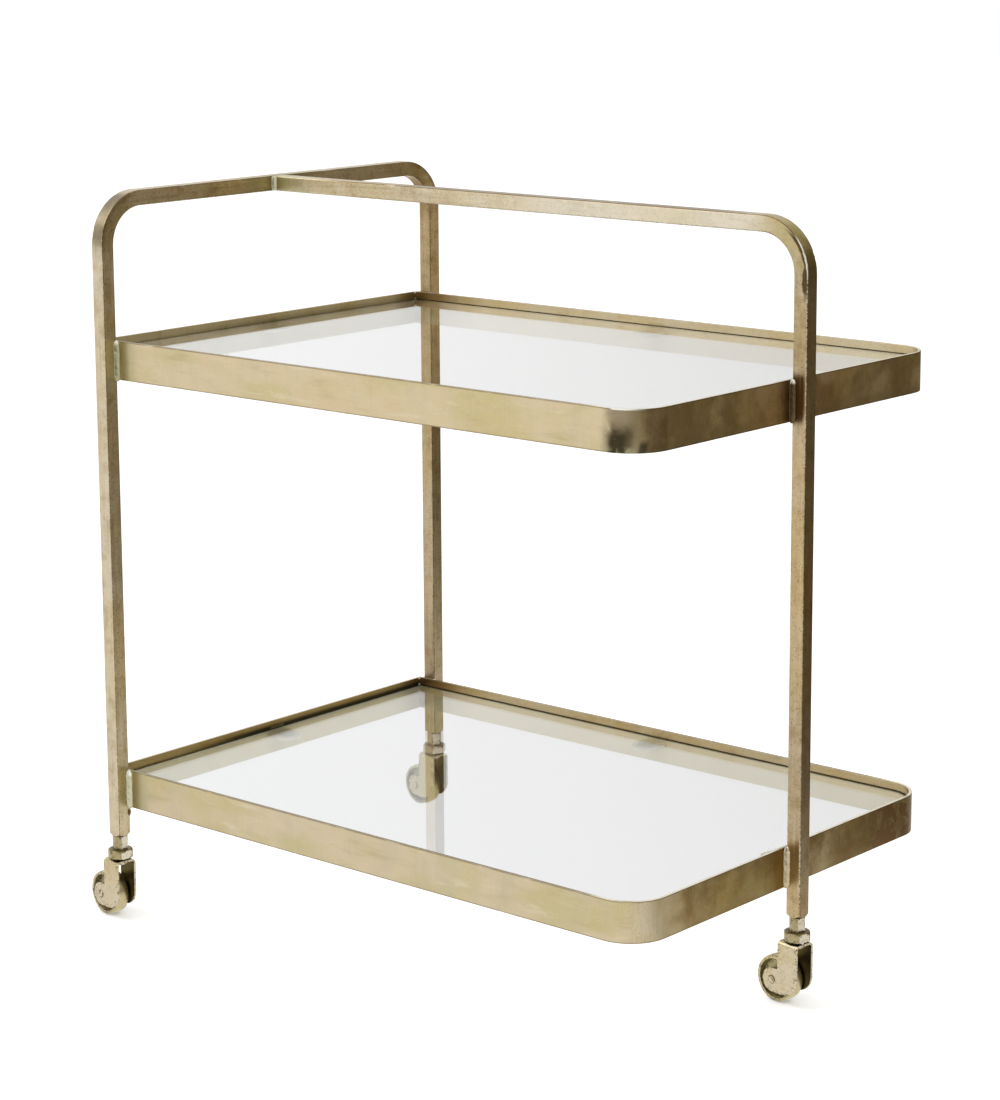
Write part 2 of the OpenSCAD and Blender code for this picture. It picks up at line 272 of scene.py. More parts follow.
def agedBrass(net, look, place, finish):
    # Pale brass drifts to warm in large clouds and to olive in smaller blotches, under a fine mottling and
    # small dark specks
    cloud = net.noise(place, 1 / finish["cloudSize"], 4.0, 0.55, 0.3)
    blotch = net.noise(place, 1 / finish["blotchSize"], 6.0, 0.65, 0.6)
    grain = net.noise(place, 1 / finish["grainSize"], 3.0, 0.75)
    paint = Paint(net, net.colour(net.smooth(cloud, 0.36, 0.62), look["pale"], look["warm"]))
    paint.lay(net.smooth(blotch, 0.47, 0.74) * finish["oliveShare"], look["olive"])
    paint.lay(net.smooth(grain, 0.50, 0.68) * finish["grainDepth"], look["brown"])
    paint.lay(net.fall(grain, 0.32, 0.48) * finish["grainDepth"] * 0.9, look["edge"])
    fine = specks(net, place, finish["speckSize"], 0.62)
    coarse = specks(net, place, finish["speckSize"] * 2.1, 0.36)
    paint.lay((fine + coarse * 0.7) * finish["speckDepth"], look["brown"])
    return paint, cloud, blotch, grain


def specks(net, place, size, share):
    # Small dark dots: the middles of Voronoi cells, thinned by a noise
    dots = net.node("ShaderNodeTexVoronoi", inputs={"Vector": place, "Scale": 1 / size})
    thin = net.noise(place, 0.3 / size, 2.0)
    return net.fall(dots, 0.10, 0.36) * net.smooth(thin, 1 - share, 1.10 - share)


tubeLook = {
    "cloudSize": 0.16,
    "blotchSize": 0.03,
    "grainSize": 0.0022,
    "oliveShare": 0.40,
    "grainDepth": 0.10,
    "speckSize": 0.0030,
    "speckDepth": 0.50,
    "drawn": 0.24,
    "scratch": 0.24,
    "mottle": (0.74, 0.66, 0.52),
    # Films of painted light and shade on the hoop's faces, the far leg and the handle's leg
    "hoopEnd": (1.20, 1.19, 1.14),
    "hoopHigh": (1.12, 1.12, 1.08),
    "farFront": (0.78, 0.73, 0.67),
    "farSide": (0.82, 0.78, 0.70),
    "farHigh": (1.75, 1.75, 1.75),
    "farLow": (0.78, 0.74, 0.68),
    "farFoot": (1.22, 1.32, 1.15),
    "legFront": (0.86, 0.79, 0.69),
    "legSide": (0.64, 0.58, 0.48),
    "topDarker": (0.55, 0.52, 0.48),
    "bendFront": (0.72, 0.67, 0.48),
    "bendHoop": (0.80, 0.77, 0.68),
    "bendOuter": (0.52, 0.51, 0.50),
    "stain": (0.085, 0.052, 0.020),
    "bendGreen": (0.66, 0.66, 0.43),
    "bendInner": (0.62, 0.54, 0.42),
    "lowerHeat": (0.36, 0.235, 0.085),
    "hoopHeat": (0.64, 0.63, 0.42),
    "shine": (1.0, 0.97, 0.86),
    # Heights where a film of painted light and shade sets in or fades, and the same along X for the handle
    "hoopEndFrom": (0.12, 0.16),
    "hoopHighFrom": (0.54, 0.64),
    "farHighFrom": (0.52, 0.57),
    "farLowTo": (0.18, 0.28),
    "farFootTo": (0.12, 0.15),
    "handlePaleFrom": (-0.20, 0.12),
}


def tubePlaces(net, place):
    # The place and the facing on the tubes, with masks that are 1 on a face or a stretch of them, 0 elsewhere
    at = SimpleNamespace()
    x, y, z = at.x, at.y, at.z = net.split(place)
    at.nx, at.ny, at.nz = net.facing()
    at.patch = net.noise(place, 70.0, 4.0, 0.6)
    at.wave = net.noise(place, 24.0, 3.0, 0.6)
    at.dots = net.noise(place, 620.0, 3.0, 0.65)
    at.front = net.smooth(-at.ny, 0.6, 0.85)
    at.end = net.smooth(abs(at.nx), 0.6, 0.85)
    at.top = net.smooth(at.nz, 0.55, 0.9)
    at.handle = net.smooth(x, frontX + tubeHalf, frontX + tubeHalf + 0.004)
    at.hoop = 1 - at.handle
    at.bars = net.smooth(z, bendZ, bendZ + 0.03)
    at.leg = net.smooth(x, legX - tubeHalf - 0.004, legX - tubeHalf)
    at.leg *= net.fall(z, bendZ - 0.02, bendZ + 0.03)
    at.farLeg = at.hoop * net.smooth(y, hoopHigh.y - tubeSide - 0.02, hoopHigh.y - tubeSide)
    at.hoopNear = at.hoop * (1 - at.farLeg)
    # How far a place on a bend lies from the middle of the bend's curve
    turnX = net.highest(x - (legX - bendRadius), 0.0)
    turnY = net.highest(abs(y) - (hoopHigh.y - tubeHalf - bendRadius), 0.0)
    turnZ = net.highest(z - bendZ, 0.0)
    at.handleTurn = net.length(turnX, turnZ)
    at.hoopTurn = net.length(turnY, turnZ)
    bent = net.smooth(z, bendZ - 0.02, bendZ + 0.01)
    at.handleBend = at.handle * net.smooth(x, legX - bendRadius - 0.02, legX - 0.02) * bent
    at.hoopBend = at.hoop * net.smooth(turnY, 0.0, 0.02) * bent
    # A drawn grain runs along each tube, and scratches run slantwise across the sides
    at.upright = net.stretched(place, (380, 380, 15))
    lengthwise = net.stretched(place, (15, 380, 380)) * at.handle
    lengthwise += net.stretched(place, (380, 15, 380)) * at.hoop
    at.drawn = at.upright * (1 - at.bars) + lengthwise * at.bars
    slant = net.node("ShaderNodeCombineXYZ", inputs={0: z * 0.6, 1: z * 0.6})
    at.scratch = net.stretched(net.vector("ADD", place, slant), (480, 480, 60))
    return at


def tubeFaces(net, look, tube, at, paint):
    # The hoop's front faces, all but the far leg's, are painted paler, as light. Every face is mottled, and
    # lined by its drawn grain and its scratches
    paint.lay(at.hoopNear * at.front * 0.5, look["pale"])
    paint.film(net.smooth(at.patch, 0.44, 0.70) * 0.65, tube["mottle"])
    paint.lay(net.smooth(at.drawn, 0.50, 0.72) * tube["drawn"], look["brown"])
    paint.lay(net.fall(at.drawn, 0.28, 0.46) * tube["drawn"], look["edge"])
    scored = net.smooth(at.scratch, 0.52, 0.74) * (0.3 + at.end * 0.7)
    paint.lay(scored * tube["scratch"], look["brown"])
    paint.lay(net.fall(at.scratch, 0.26, 0.42) * at.end * tube["scratch"] * 0.8, look["edge"])
    # Painted light and shade: the hoop's end faces lighten toward the top; the far leg and the handle's leg
    # are painted browner and darker; the far leg's ends lighten above the tray and its foot is lighter and
    # greener;
    # the handle is palest near its bend, its top paler near both ends, and a stretch of the hoop's ends paler
    paint.film(at.hoopNear * at.end * net.smooth(at.z, *tube["hoopEndFrom"]), tube["hoopEnd"])
    paint.film(at.farLeg * at.end, tube["farSide"])
    paint.film(at.hoopNear * at.end * net.smooth(at.z, *tube["hoopHighFrom"]), tube["hoopHigh"])
    paint.film(at.farLeg * at.end * net.smooth(at.z, *tube["farHighFrom"]), tube["farHigh"])
    paint.film(at.farLeg * at.front, tube["farFront"])
    paint.film(at.farLeg * at.front * net.fall(at.z, *tube["farLowTo"]), tube["farLow"])
    paint.film(at.farLeg * net.fall(at.z, *tube["farFootTo"]), tube["farFoot"])
    paint.film(at.leg * at.front, tube["legFront"])
    paint.film(at.leg * at.end, tube["legSide"])
    bar = at.handle * at.bars
    paint.lay(bar * at.front * net.smooth(at.x, *tube["handlePaleFrom"]) * 0.42, look["edge"])
    paint.lay(bar * at.top * net.smooth(abs(at.x + 0.01), 0.26, 0.30) * 0.45, look["edge"])
    paler = at.hoop * at.end * net.smooth(at.y, 0.04, 0.08) * net.fall(at.y, 0.17, 0.20)
    paint.lay(paler * 0.10, look["edge"])
    # The tops are darker and greyer in patches, all but at the joint and the bend
    worn = at.top * net.smooth(at.wave, 0.25, 0.5) * net.fall(abs(at.x - 0.06), 0.21, 0.28)
    paint.film(worn, tube["topDarker"])


def tubeBends(net, look, tube, at, paint):
    # The tubes' bends are dulled in patches, and the outside of the handle's bend is greener
    dulled = net.smooth(at.wave, 0.25, 0.55)
    paint.film(at.handleBend * dulled, tube["bendFront"])
    paint.film(at.hoopBend * dulled, tube["bendHoop"])
    hoopOutside = at.hoopBend * net.smooth(abs(at.ny), 0.15, 0.5) * net.smooth(at.nz, -0.1, 0.2)
    paint.film(hoopOutside, tube["bendOuter"])
    paint.film(at.handleBend * net.smooth(at.nx, 0.3, 0.7), tube["bendGreen"])
    # The underside of the hoop's bends is painted darker, as shade
    paint.film(at.hoopBend * net.smooth(-at.nz, 0.1, 0.5), tube["bendInner"])
    # A brown stain follows the outer edge of the handle's bend, and widens before it fades down the leg
    wide = net.band(at.z, bendZ - 0.012, bendZ + 0.002, 0.007) * 0.0024 + (at.patch - 0.5) * 0.004
    outer = net.smooth(at.handleTurn + wide, bendRadius + 0.0030, bendRadius + 0.0048)
    run = net.fall(at.z, bendZ + 0.034, bendZ + 0.046)
    run *= net.smooth(at.z + at.patch * 0.01, bendZ - 0.022, bendZ - 0.008)
    paint.lay(at.handle * at.front * outer * run * 0.95, tube["stain"])
    hoopOuter = net.smooth(at.hoopTurn, bendRadius + 0.0010, bendRadius + 0.0055)
    paint.lay(at.hoopBend * at.end * hoopOuter * net.smooth(at.wave, 0.25, 0.45) * 0.35, look["brown"])


def tubeHeat(net, look, tube, at, paint):
    # Welding heat: brown on the handle's leg, olive on the hoop's, green round the joint of handle and hoop
    nearWeld = net.fall(at.x + at.wave * 0.006, legX + 0.0065, legX + 0.0100) * net.smooth(-at.ny, 0.3, 0.8)
    ragged = at.z + at.patch * 0.006
    burnt = net.band(ragged, upperLow.z + 0.006, upperHigh.z + 0.004, 0.009)
    burnt = at.leg * nearWeld * burnt * net.smooth(at.upright, 0.22, 0.42)
    paint.lay(burnt * 0.88, look["amber"])
    burnt = net.band(ragged, lowerLow.z + 0.008, lowerHigh.z + 0.002, 0.012)
    burnt = at.leg * nearWeld * burnt * net.smooth(at.upright, 0.25, 0.50)
    paint.lay(burnt * 0.62, tube["lowerHeat"])
    streaks = net.smooth(at.upright, 0.40, 0.60)
    paled = net.band(at.z, upperLow.z, upperHigh.z, 0.02) * (0.5 + streaks * 0.5)
    paint.lay(at.hoopNear * at.end * paled * 0.8, tube["hoopHeat"])
    greened = net.band(at.z, lowerLow.z, lowerHigh.z, 0.02) * (0.4 + streaks * 0.6)
    paint.lay(at.hoopNear * at.end * greened * 0.5, look["green"])
    fromJoint = net.length(at.x - frontX, at.y, at.z - barZ)
    paint.lay(net.fall(fromJoint, 0.016, 0.085) * net.smooth(at.patch, 0.25, 0.5) * 0.55, look["green"])
    paint.lay(net.fall(fromJoint, 0.014, 0.026) * 0.6, look["olive"])


def tubeEdges(net, look, tube, at, paint):
    # The rounded long edges are dark along the bars; the handle's outer edge has a painted highlight round
    # its bend, broken below it into dots of painted highlight and of dark
    flatHandle = net.highest(abs(at.ny), net.length(at.nx, at.nz)) * at.handle
    flatHoop = net.highest(abs(at.nx), net.length(at.ny, at.nz)) * at.hoop
    arc = net.fall(flatHandle + flatHoop, 0.90, 0.995)
    upperArc = arc * net.smooth(at.nz, 0.15, 0.35)
    lined = upperArc * net.smooth(at.x, -0.27, -0.20) * net.smooth(at.wave, 0.2, 0.4)
    paint.lay(lined * 0.85, look["brown"])
    hoopLine = net.highest(net.smooth(at.wave, 0.3, 0.5), at.hoopBend)
    paint.lay(upperArc * at.hoop * hoopLine * 0.8, look["brown"])
    lowArc = arc * net.smooth(-at.nz, 0.15, 0.35) * net.smooth(at.dots, 0.42, 0.6)
    paint.lay(lowArc * 0.7, look["brown"])
    outerArc = arc * at.handle * net.smooth(at.nx, 0.2, 0.4) * net.fall(at.z, bendZ + 0.030, bendZ + 0.040)
    near = net.band(at.z, upperLow.z - 0.02, upperHigh.z + 0.01, 0.03)
    near += net.band(at.z, lowerLow.z - 0.01, lowerHigh.z, 0.02)
    near = net.highest(near, net.smooth(at.z, bendZ - 0.10, bendZ - 0.03))
    whole = net.highest(net.smooth(at.z, bendZ - 0.008, bendZ), net.smooth(at.dots, 0.46, 0.58) * near)
    raised = net.smooth(at.z, bendZ - 0.12, bendZ - 0.01)
    paint.lay(outerArc * whole * raised * 0.8, tube["shine"])
    paint.lay(outerArc * whole * (1 - raised) * 0.4, tube["shine"])
    paint.lay(outerArc * (1 - whole) * net.fall(at.dots, 0.44, 0.56) * 0.7, look["brown"])
    sideLine = at.hoop * net.band(at.nx, 0.72, 0.94, 0.05)
    paint.lay(sideLine * net.smooth(at.dots, 0.36, 0.50) * 0.85, look["brown"])


def tubeBrass(look, tube):
    material, net, place = newMaterial("tube_brass_aged")
    at = tubePlaces(net, place)
    paint, cloud, blotch, grain = agedBrass(net, look, place, tube)
    for layer in (tubeFaces, tubeBends, tubeHeat, tubeEdges):
        layer(net, look, tube, at, paint)
    # Dirt and painted shade where pieces meet
    paint.lay(net.hollows(0.003) * 0.45, look["black"])
    rough = 0.26 + cloud * 0.12 + at.scratch * 0.08 + at.farLeg * net.smooth(at.z, 0.54, 0.60) * 0.22
    height = blotch * 0.35 + at.scratch * 0.35 + at.drawn * 0.35 + grain * 0.12
    finishMetal(net, paint.tone, rough, net.bump(0.3, 0.0006, height))
    return material


rimLook = {
    "cloudSize": 0.13,
    "blotchSize": 0.05,
    "grainSize": 0.0022,
    "oliveShare": 0.38,
    "grainDepth": 0.10,
    "speckSize": 0.0028,
    "speckDepth": 0.30,
    "grey": (0.66, 0.60, 0.47),
    "golden": (0.58, 0.50, 0.275),
    "beige": (0.66, 0.555, 0.385),
    "dull": (0.50, 0.44, 0.28),
    "gold": (0.27, 0.20, 0.07),
    "rust": (0.22, 0.11, 0.035),
    "topLine": (0.22, 0.165, 0.095),
    "oliveCloud": (0.84, 0.83, 0.60),
    "redder": (1.06, 0.92, 0.90),
    "glint": (1.0, 0.98, 0.92),
    "goldLine": (0.42, 0.27, 0.07),
    "farMark": (0.50, 0.40, 0.27),
    "drift": 0.75,
    "cornerDark": (0.090, 0.063, 0.028),
    "cornerRadius": 0.040,
}
# What differs from tray to tray: the tones of its front, its rounded end, partly painted light and shade,
# with where along Y that starts, its inner faces and the inside of its end bar; how much painted shade lies
# above and painted pale light below the pane; its front corner with its painted glint, and heat marks; and
# how much of its end is reddened, rusty or brightened by warm painted light
trayLook = {
    "upper": {
        "front": (1.02, 0.99, 0.92),
        "start": -0.24,
        "end": (1.24, 1.20, 1.02),
        "mottle": (0.66, 0.59, 0.52),
        "inner": (1.0, 0.95, 0.83),
        "bar": (1.20, 1.22, 1.12),
        "barTop": (1.0, 1.0, 1.0),
        "shade": 0.25,
        "under": 0.42,
        "underTone": (0.84, 0.84, 0.79),
        "corner": 0.92,
        "mark": (0.085, 0.042, 0.014),
        "heat": 0.62,
        "red": 0.8,
        "rust": 0.10,
        "glow": 0.0,
    },
    "lower": {
        "front": (0.98, 0.97, 0.94),
        "start": -0.165,
        "end": (0.62, 0.52, 0.30),
        "mottle": (0.68, 0.60, 0.46),
        "inner": (0.78, 0.70, 0.54),
        "bar": (1.15, 1.25, 1.02),
        "barTop": (0.92, 0.80, 0.69),
        "shade": 0.92,
        "under": 0.50,
        "underTone": (0.78, 0.775, 0.66),
        "corner": 0.0,
        "mark": (0.21, 0.125, 0.034),
        "heat": 0.50,
        "red": 0.0,
        "rust": 0.80,
        "glow": 0.6,
    },
}


def rimPlaces(net, place, word):
    # The place and the facing on a rim, with its clouds and the masks of its faces
    low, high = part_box(word + "_rim")
    paneLow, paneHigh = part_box(word + "_glass")
    at = SimpleNamespace(place=place, low=low, high=high, paneLow=paneLow, paneHigh=paneHigh)
    at.x, at.y, at.z = net.split(place)
    at.nx, at.ny, at.nz = net.facing()
    at.patch = net.noise(place, 42.0, 4.0, 0.6)
    at.wide = net.noise(place, 20.0, 4.0, 0.6)
    at.mottle = net.noise(place, 75.0, 5.0, 0.65, 0.4)
    at.column = net.stretched(place, (32, 32, 14), 4.0)
    at.streak = net.stretched(place, (800, 800, 24))
    at.middleX = (low.x + high.x) / 2
    outward = (at.x - at.middleX) * at.nx + at.y * at.ny
    at.outside = net.smooth(outward, 0.0, 0.02)
    at.inside = net.smooth(-outward, 0.0, 0.02)
    at.end = net.smooth(abs(at.nx), 0.35, 0.9)
    at.front = at.outside * (1 - at.end)
    at.handleEnd = net.smooth(at.x, high.x - 0.05, high.x - 0.012) * at.end
    at.onBar = net.fall(at.x, low.x + 0.004, low.x + 0.006)
    return at


def rimSides(net, look, rim, tray, at, paint):
    # The sides drift from golden to beige in long clouds, with duller ones in upright columns
    long = net.stretched(at.place, (11, 11, 26), 4.0)
    paint.lay(net.smooth(at.column, 0.40, 0.64) * 0.6, rim["grey"])
    drift = net.colour(net.smooth(long, 0.38, 0.60), rim["golden"], rim["beige"])
    drift = net.colour(net.smooth(at.column, 0.46, 0.72) * 0.55, drift, rim["dull"])
    paint.lay(at.front * rim["drift"], drift)
    # Fine upright brush streaks are strongest on the rounded end
    paint.lay(net.smooth(at.streak, 0.47, 0.75) * (0.06 + at.handleEnd * 0.20), look["olive"])
    paint.lay(net.fall(at.streak, 0.26, 0.46) * at.handleEnd * 0.16, look["edge"])
    paint.film(at.front, tray["front"])


def rimEnd(net, look, rim, tray, at, paint):
    # The rounded end is painted lighter on the upper tray and darker on the lower as light and shade, and is
    # clouded with brown and olive, redder beside the leg and greener at its foot
    y, z, low = at.y, at.z, at.low
    outerEnd = at.handleEnd * at.outside * net.smooth(y, tray["start"] - 0.06, tray["start"])
    paint.film(outerEnd, tray["end"])
    clouded = net.noise(at.place, 27.0, 3.0, 0.5) * 0.8 + at.mottle * 0.2
    paint.film(outerEnd * net.smooth(clouded, 0.38, 0.60), tray["mottle"])
    paint.film(outerEnd * net.fall(at.wide, 0.36, 0.60) * 0.8, rim["oliveCloud"])
    paint.film(outerEnd * net.fall(abs(y), 0.05, 0.13) * tray["red"], rim["redder"])
    paint.lay(outerEnd * net.fall(z, low.z + 0.003, low.z + 0.014) * 0.30, look["olive"])
    # On the lower tray, warm painted light brightens the end toward the front corner and beside the leg
    glow = net.highest(net.fall(y, -0.225, -0.120), net.band(y, 0.012, 0.045, 0.045))
    paint.lay(outerEnd * glow * net.fall(clouded, 0.40, 0.62) * tray["glow"], look["warm"])
    fleck = net.stretched(at.place, (420, 420, 60), 4.0, 0.7)
    paint.lay(net.fall(fleck, 0.28, 0.37) * at.handleEnd * 0.45, look["edge"])
    # Rusty patches near the far corner, bordered by paler lines
    flake = net.noise(at.place, 36.0, 5.0, 0.6, 0.8)
    atFar = outerEnd * net.smooth(y, 0.09, 0.17) * tray["rust"]
    paint.lay(atFar * net.smooth(flake, 0.46, 0.48), rim["rust"])
    paint.lay(atFar * net.band(flake, 0.448, 0.452, 0.006) * 0.3, look["warm"])


def rimEdges(net, look, rim, tray, at, paint):
    # Long rub marks lie along the sides
    x, z, low, high = at.x, at.z, at.low, at.high
    rub = net.stretched(at.place, (16, 16, 95), 4.0)
    paint.lay(net.smooth(rub, 0.54, 0.74) * (1 - at.end) * 0.26, look["olive"])
    paint.lay(net.fall(rub, 0.28, 0.44) * (1 - at.end) * 0.22, look["edge"])
    # Thin dark lines follow both edges. The top is dark but for the rounded end and the end bar, whose tops
    # are painted light as a highlight
    line = net.smooth(z, high.z - 0.0016, high.z - 0.0004) + net.fall(z, low.z + 0.0004, low.z + 0.0014)
    paint.lay(line * at.outside * net.smooth(at.patch, 0.25, 0.5) * 0.7, look["brown"])
    upward = net.smooth(at.nz, 0.7, 0.9)
    paint.lay(upward * net.fall(x, high.x - 0.075, high.x - 0.045) * 0.8, rim["topLine"])
    paint.lay(upward * at.onBar * 0.7, look["edge"])
    pale = upward * net.smooth(x, high.x - 0.06, high.x - 0.04) * net.smooth(at.patch, 0.3, 0.5)
    paint.lay(pale, look["edge"])


def rimCorner(net, look, rim, tray, at, paint):
    # The front corner of one tray has a painted glint on its upper edge and is dark below, with a black-olive
    # blot low down and a lighter column beside it. Around goes from 0 to 1 from the side to the rounded end
    x, z, low, high = at.x, at.z, at.low, at.high
    start = x + (at.wide - 0.5) * 0.008 + (at.patch - 0.5) * 0.012
    corner = net.smooth(start, high.x - 0.0470, high.x - 0.0290)
    corner *= net.smooth(-at.y, high.y - 0.046, high.y - 0.036) * at.outside * tray["corner"]
    around = (x - (high.x - rim["cornerRadius"])) / rim["cornerRadius"] + (at.wide - 0.5) * 0.25
    dark = corner * net.fall(around, 0.56, 0.84) * net.smooth(at.mottle + around * 0.5, 0.20, 0.56)
    dark *= 0.66 + net.fall(z, low.z + 0.012, low.z + 0.034) * 0.34
    paint.lay(dark, rim["cornerDark"])
    paint.lay(corner * net.smooth(around, 0.74, 1.0) * 0.35, look["brown"])
    blot = net.band(around + (at.patch - 0.5) * 0.4, 0.26, 0.46, 0.20) * net.smooth(at.mottle, 0.22, 0.44)
    blot = corner * blot * net.fall(z + (at.mottle - 0.5) * 0.034, low.z + 0.013, low.z + 0.030)
    paint.lay(blot * 0.88, look["black"])
    blot = corner * net.fall(z, low.z + 0.006, low.z + 0.014) * net.band(around, 0.79, 0.84, 0.07)
    paint.lay(blot * 0.8, look["black"])
    glint = net.smooth(z, high.z - 0.0016, high.z - 0.0008) * net.band(around, 0.25, 0.75, 0.15)
    paint.lay(corner * glint * net.smooth(at.mottle, 0.40, 0.48), rim["glint"])
    foot = net.fall(z, low.z + 0.002, low.z + 0.008)
    paint.lay(corner * foot * net.smooth(at.mottle, 0.42, 0.62) * 0.8, look["green"])
    # The far corner's outer face is painted lighter, as a highlight
    farCorner = net.smooth(at.y, high.y - 0.036, high.y - 0.012) * net.smooth(x, high.x - 0.04, high.x - 0.03)
    paint.lay(farCorner * at.outside * 0.45, look["edge"])


def rimHeat(net, look, rim, tray, at, paint):
    # Heat marks beside the welds: brown or gold by the handle's leg, golden olive by the hoop's legs
    sideways = abs(at.y) - tubeHalf
    atLeg = net.smooth(at.x, at.high.x - 0.01, at.high.x - 0.003)
    legMark = net.fall(sideways + (at.patch - 0.5) * 0.012, 0.006, 0.030) * atLeg
    paint.lay(legMark * net.smooth(at.streak, 0.2, 0.5) * 0.62, tray["mark"])
    # A thin gold line beside the handle's leg is a painted highlight, as strong as the tray's warm painted
    # light
    goldLine = net.band(sideways, 0.0075, 0.0095, 0.003) * atLeg
    paint.lay(goldLine * tray["glow"] * 0.6, rim["goldLine"])
    hoopSide = abs(at.x - frontX) - tubeHalf + (at.patch - 0.5) * 0.006
    hoopMark = net.smooth(hoopSide, 0.0040, 0.0060) * net.fall(hoopSide, 0.0100, 0.0200) * at.front
    paint.lay(hoopMark * net.smooth(at.column, 0.2, 0.4) * tray["heat"], rim["gold"])
    greenMark = net.band(hoopSide, 0.016, 0.022, 0.010) * at.front
    paint.lay(greenMark * tray["heat"] * 0.5, look["green"])


def rimInside(net, look, rim, tray, at, paint):
    # The inner faces: browner by the far corner, painted shade above the pane, a thin painted shadow in the
    # slit round its edge, an olive mark by each tab
    x, y, z, low, high = at.x, at.y, at.z, at.low, at.high
    bottom, top = at.paneLow.z, at.paneHigh.z
    onEndBar = at.inside * at.onBar
    paint.film(at.inside, tray["inner"])
    paint.film(onEndBar, tray["bar"])
    paint.film(onEndBar * net.smooth(z, bottom, top), tray["barTop"])
    farMark = net.fall(x, low.x + 0.03, low.x + 0.10) * net.smooth(y, high.y - 0.05, high.y - 0.01)
    paint.film(at.inside * farMark, rim["farMark"])
    shade = onEndBar * net.fall(z, top + 0.0012, top + 0.0066)
    shade *= net.smooth(y, -0.17, -0.03) * net.smooth(z, bottom, top)
    paint.lay(shade * tray["shade"], look["black"])
    slitShadow = at.inside * (1 - at.onBar) * net.band(z, top - 0.0010, top + 0.0003, 0.0005)
    paint.lay(slitShadow * 0.85, look["black"])
    fromTab = at.onBar * abs(y) + (1 - at.onBar) * abs(x - at.middleX)
    tabMark = at.inside * net.fall(fromTab, 0.007, 0.014) * net.fall(z, top + 0.001, top + 0.004)
    paint.lay(tabMark * net.smooth(at.mottle, 0.35, 0.5) * 0.6, look["olive"])
    # Below the pane they are made duller and painted paler, as light, but for a green mark where the far leg
    # is welded on
    below = at.inside * net.fall(z, bottom, top)
    byLeg = net.band(x, frontX - tubeHalf, frontX + tubeSide * 1.4, 0.003) * net.smooth(y, 0.1, 0.2)
    paint.lay(below * byLeg * 0.7, look["green"])
    at.under = below * tray["under"] * (1 - byLeg * 0.85)
    paint.lay(at.under, tray["underTone"])


def rimBrass(look, rim, tray, word):
    material, net, place = newMaterial(word + "_rim_brass")
    at = rimPlaces(net, place, word)
    paint, cloud, blotch, grain = agedBrass(net, look, place, rim)
    for layer in (rimSides, rimEnd, rimEdges, rimCorner, rimHeat, rimInside):
        layer(net, look, rim, tray, at, paint)
    # The sharp edges are rubbed, and dirt and painted shade gather where pieces meet
    paint.lay(net.edges(0.0007) * 0.22, look["edge"])
    paint.lay(net.hollows(0.0024) * 0.55, look["black"])
    rough = 0.27 + cloud * 0.12 + at.streak * 0.08 + at.inside * at.onBar * 0.2
    dents = net.noise(place, 24.0, 2.0)
    height = blotch * 0.3 + at.streak * 0.35 + dents * 1.6 + grain * 0.12
    finishMetal(net, paint.tone, rough, net.bump(0.25, 0.0006, height, 0.0006), 1 - at.under)
    return material


tabLook = {"dark": (0.58, 0.56, 0.45), "pale": (0.70, 0.67, 0.56), "metallic": 0.4}


def tabBrass(look):
    # The tabs under the panes are paler and duller than the rims
    material, net, place = newMaterial("tab_brass")
    cloud = net.noise(place, 120.0, 4.0, 0.6)
    tone = net.colour(net.smooth(cloud, 0.35, 0.65), look["dark"], look["pale"])
    finishMetal(net, tone, 0.42 + cloud * 0.1, net.bump(0.2, 0.0005, cloud), look["metallic"])
    return material


casterLook = {
    "cloudSize": 0.05,
    "blotchSize": 0.008,
    "grainSize": 0.0012,
    "oliveShare": 0.30,
    "grainDepth": 0.14,
    "speckSize": 0.0015,
    "speckDepth": 0.35,
    "pits": 0.90,
    # How far the forks stand turned from the cart's length, in degrees
    "turn": 7.5,
    "tarnishAndShade": (0.13, 0.11, 0.03),
    # The arms' inner faces are painted near black, as shade
    "inner": (0.060, 0.046, 0.013),
    # Films over the forks and axles, the stems and collars, the wheels, and the caster behind the pane
    "lobe": (0.98, 0.97, 0.91),
    "stem": (0.66, 0.64, 0.50),
    # The stems' top, darkened as painted shade, and the side that carries their painted highlight
    "stemTopShade": (0.50, 0.46, 0.36),
    "highlightSide": (0.944, -0.329, 0),
    "wheel": (0.90, 0.90, 0.73),
    "behind": (0.90, 0.94, 0.86),
}


def aboutAxle(net, place, corner, turn):
    # With p the place from the middle of the corner's axle, n the facing and a the axle's direction: along is
    # p . a, facing n . a, radius the root of p . p - (p . a)^2, and outward (n . p - (p . a)(n . a)) / radius
    low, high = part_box(corner + "_axle")
    axis = (math.sin(turn), math.cos(turn), 0)
    fromAxle = net.vector("SUBTRACT", place, tuple((low + high) / 2))
    axle = SimpleNamespace(head=(high.z - low.z) / 2)
    axle.along = net.dot(fromAxle, axis)
    axle.facing = net.dot(net.normal(), axis)
    axle.radius = net.math("SQRT", net.dot(fromAxle, fromAxle) - axle.along * axle.along)
    axle.outward = (net.dot(net.normal(), fromAxle) - axle.along * axle.facing) / axle.radius
    return axle


